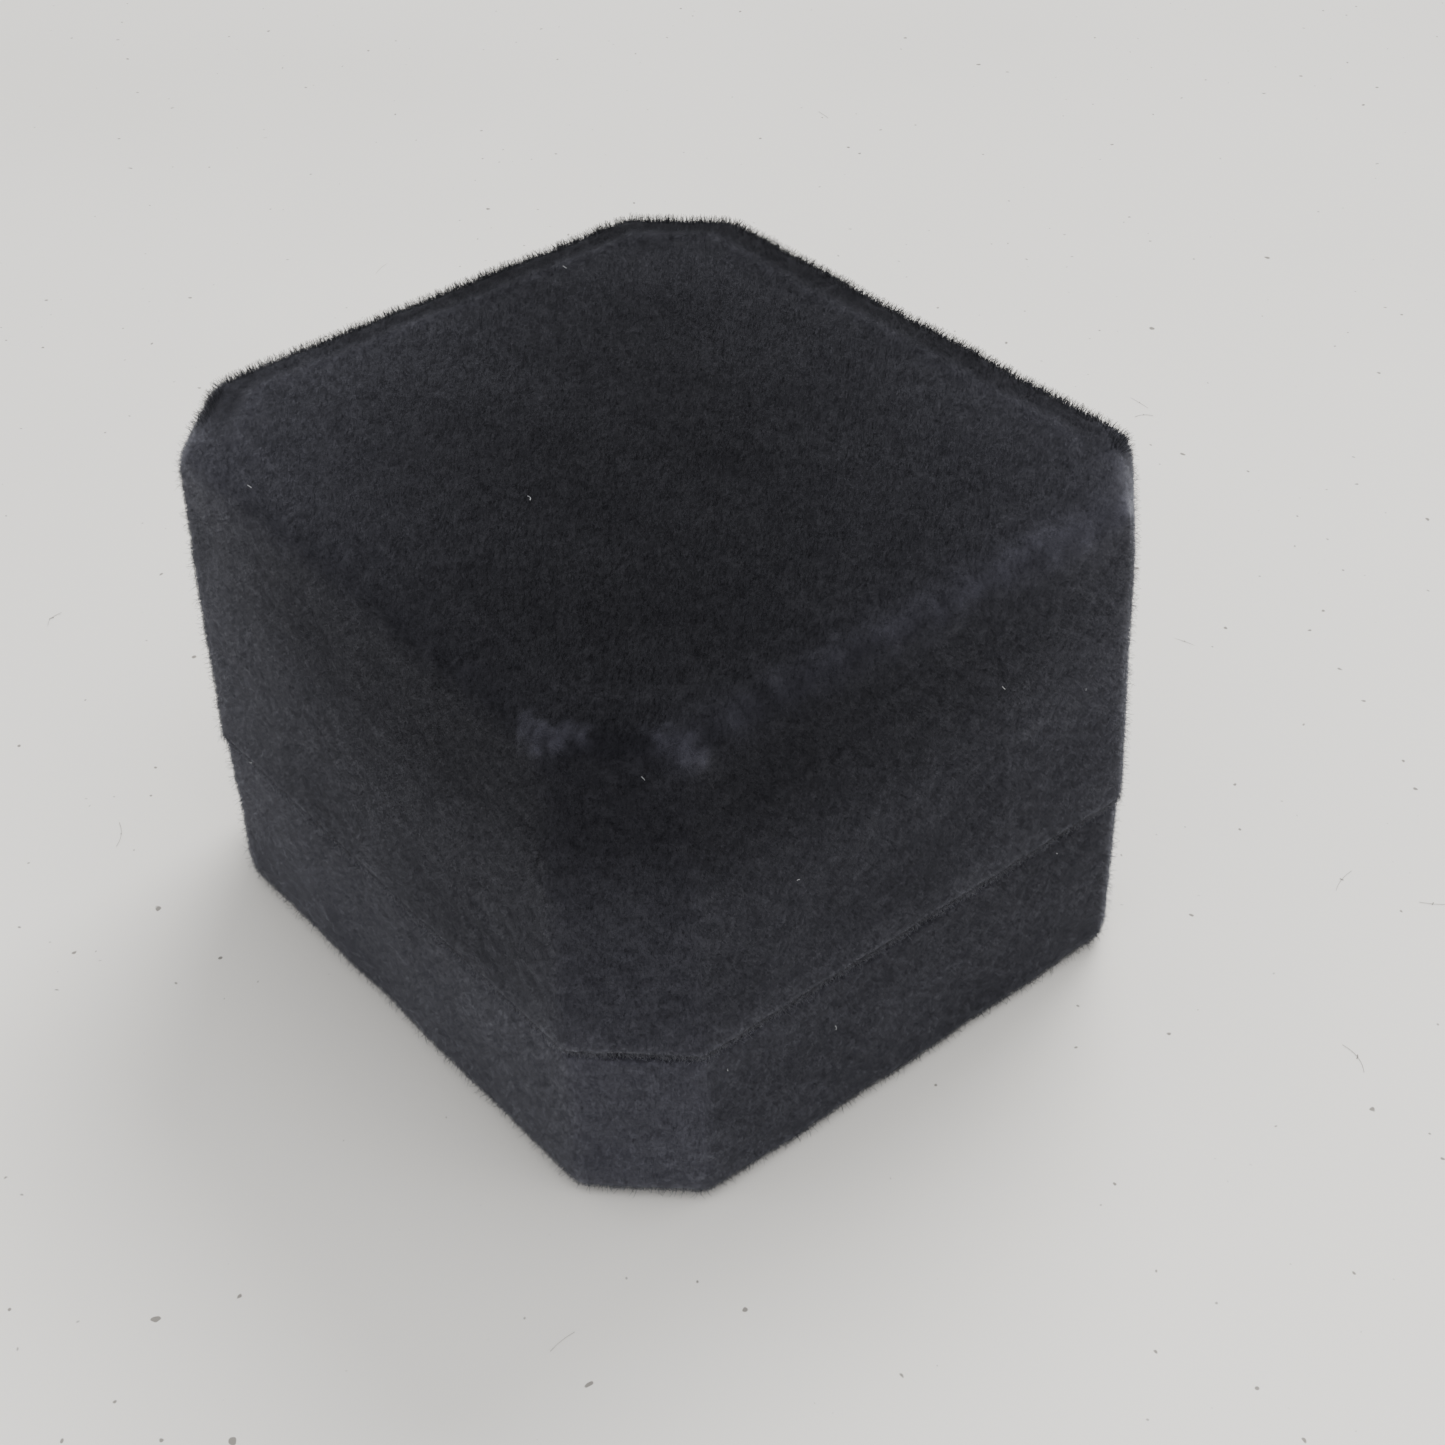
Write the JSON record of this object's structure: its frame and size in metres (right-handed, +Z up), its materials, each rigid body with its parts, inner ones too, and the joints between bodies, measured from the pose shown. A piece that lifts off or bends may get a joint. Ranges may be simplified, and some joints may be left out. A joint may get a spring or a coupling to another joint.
{
  "type": "ring box",
  "caption": "Small cut-corner ring box covered in dark velvet, with a tall lid on a snap-spring hinge and a slotted ring pad inside.",
  "frame": {"origin": "centre of the base's underside, where the box rests", "axes": "+Z up, +X towards the opening side, -X towards the hinge side, Y along the hinge pin"},
  "size_m": [0.0604, 0.0556, 0.043],
  "materials": {
    "outer_velvet": "charcoal black velvet, matte pile with a soft sheen",
    "moulded_shell": "black injection-moulded plastic",
    "bottom_board": "black flocked paper on card",
    "liner": "black short-pile velvet over a stiff inner frame",
    "grey_card": "uncoated grey card",
    "pad_foam": "soft dark foam",
    "pad_velvet": "black velvet over foam",
    "satin": "ivory satin with a soft highlight",
    "lid_foam": "soft pale foam",
    "hinge_steel": "nickel-plated pressed steel",
    "spring_steel": "blued spring steel strip",
    "rivet_steel": "plated steel rivet heads"
  },
  "bodies": {
    "base": {"base_velvet": "outer_velvet", "base_shell": "moulded_shell", "base_bottom_board": "bottom_board", "base_liner": "liner", "pad_card": "grey_card", "pad_foam_front": "pad_foam", "pad_foam_rear": "pad_foam", "pad_velvet_front": "pad_velvet", "pad_velvet_rear": "pad_velvet", "hinge_leaf_base": "hinge_steel", "hinge_pin": "hinge_steel", "hinge_snap_spring": "spring_steel", "rivet_base_left": "rivet_steel", "rivet_base_right": "rivet_steel"},
    "lid": {"lid_velvet": "outer_velvet", "lid_shell": "moulded_shell", "lid_lining_strip": "satin", "lid_pad_card": "grey_card", "lid_satin_cover": "satin", "lid_pad_foam": "lid_foam", "hinge_leaf_lid": "hinge_steel", "rivet_lid_left": "rivet_steel", "rivet_lid_right": "rivet_steel"}
  },
  "joints": [
    {"name": "lid_hinge", "type": "hinge", "parent": "base", "child": "lid", "pos_m": [-0.0285, 0, 0.015], "axis": [0, -1, 0], "range_deg": [0, 100], "deforming": ["hinge_snap_spring"]}
  ]
}
